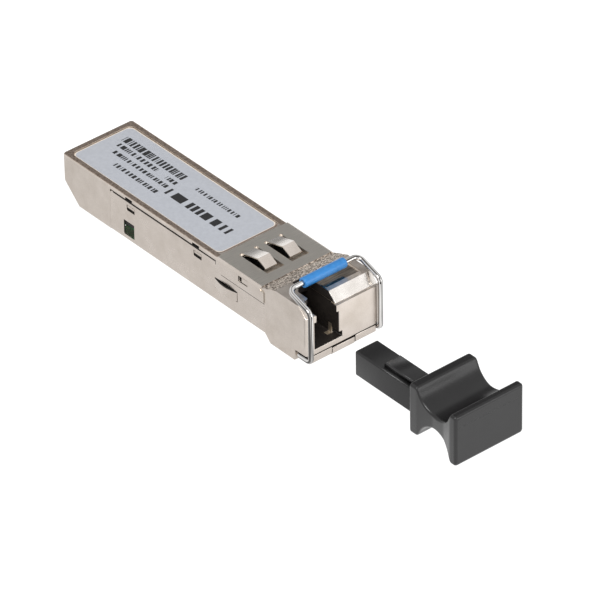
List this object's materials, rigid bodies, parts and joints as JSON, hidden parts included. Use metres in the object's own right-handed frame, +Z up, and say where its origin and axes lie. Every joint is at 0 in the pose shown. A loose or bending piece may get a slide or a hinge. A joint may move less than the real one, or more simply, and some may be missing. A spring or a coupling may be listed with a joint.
{
  "type": "optical transceiver module",
  "caption": "Pluggable optical transceiver module: die-cast body with a duplex-size nose, one fibre port, wire bail latch with blue sleeve, grounding collar and a pulled-out black dust plug.",
  "frame": {"origin": "middle of the flat underside of the body, half way between the front face and the rear end", "axes": "+X across the module, to the right when the port is faced; +Y from the port towards the card edge; +Z up, out of the label"},
  "size_m": [0.0144, 0.0866, 0.0124],
  "materials": {
    "die_cast_nickel": "satin nickel plating on a zinc die casting",
    "nickel_sheet": "satin nickel-plated sheet",
    "stainless_sheet": "fine brushed stainless spring sheet",
    "polished_wire": "polished spring wire",
    "receptacle_steel": "turned, plain",
    "gold_plate": "thin gold plating",
    "label_film": "satin plastic film",
    "blue_sleeve": "smooth satin moulding",
    "ceramic": "ground zirconia",
    "flex_film": "amber polyimide film",
    "board_green": "solder resist",
    "chip_black": "moulded epoxy",
    "passive_tan": "sintered ceramic",
    "plug_black": "satin black moulding"
  },
  "bodies": {
    "module": {"housing": "die_cast_nickel", "nose_cover": "die_cast_nickel", "bottom_shell": "nickel_sheet", "emi_collar": "stainless_sheet", "label": "label_film", "lever_pin": "polished_wire", "latch_spring": "polished_wire", "receptacle": "receptacle_steel", "split_sleeve": "ceramic", "fibre_stub": "ceramic", "optical_block": "gold_plate", "laser_can": "gold_plate", "receiver_can": "gold_plate", "laser_flex": "flex_film", "receiver_flex": "flex_film", "circuit_board": "board_green", "contacts_top": "gold_plate", "contacts_bottom": "gold_plate", "driver_chip": "chip_black", "controller_chip": "chip_black", "memory_chip": "chip_black", "passives": "passive_tan"},
    "bail": {"bail_wire": "polished_wire", "bail_sleeve": "blue_sleeve"},
    "latch": {"latch_lever": "die_cast_nickel"},
    "plug": {"dust_plug": "plug_black"}
  },
  "joints": [
    {"name": "bail_hinge", "type": "hinge", "parent": "module", "child": "bail", "pos_m": [0, -0.0254, 0.00105], "axis": [1, 0, 0], "range_deg": [0, 70]},
    {"name": "latch_rocker", "type": "hinge", "parent": "module", "child": "latch", "pos_m": [0, -0.0225, 0.00055], "axis": [1, 0, 0], "range_deg": [0, 6], "deforming": ["latch_spring"]},
    {"name": "plug_slide", "type": "slide", "parent": "module", "child": "plug", "axis": [0, 1, 0], "range_m": [0, 0.0202]}
  ],
  "couplings": [
    {"joint": "latch_rocker", "follows": "bail_hinge", "ratio": 0.08}
  ]
}
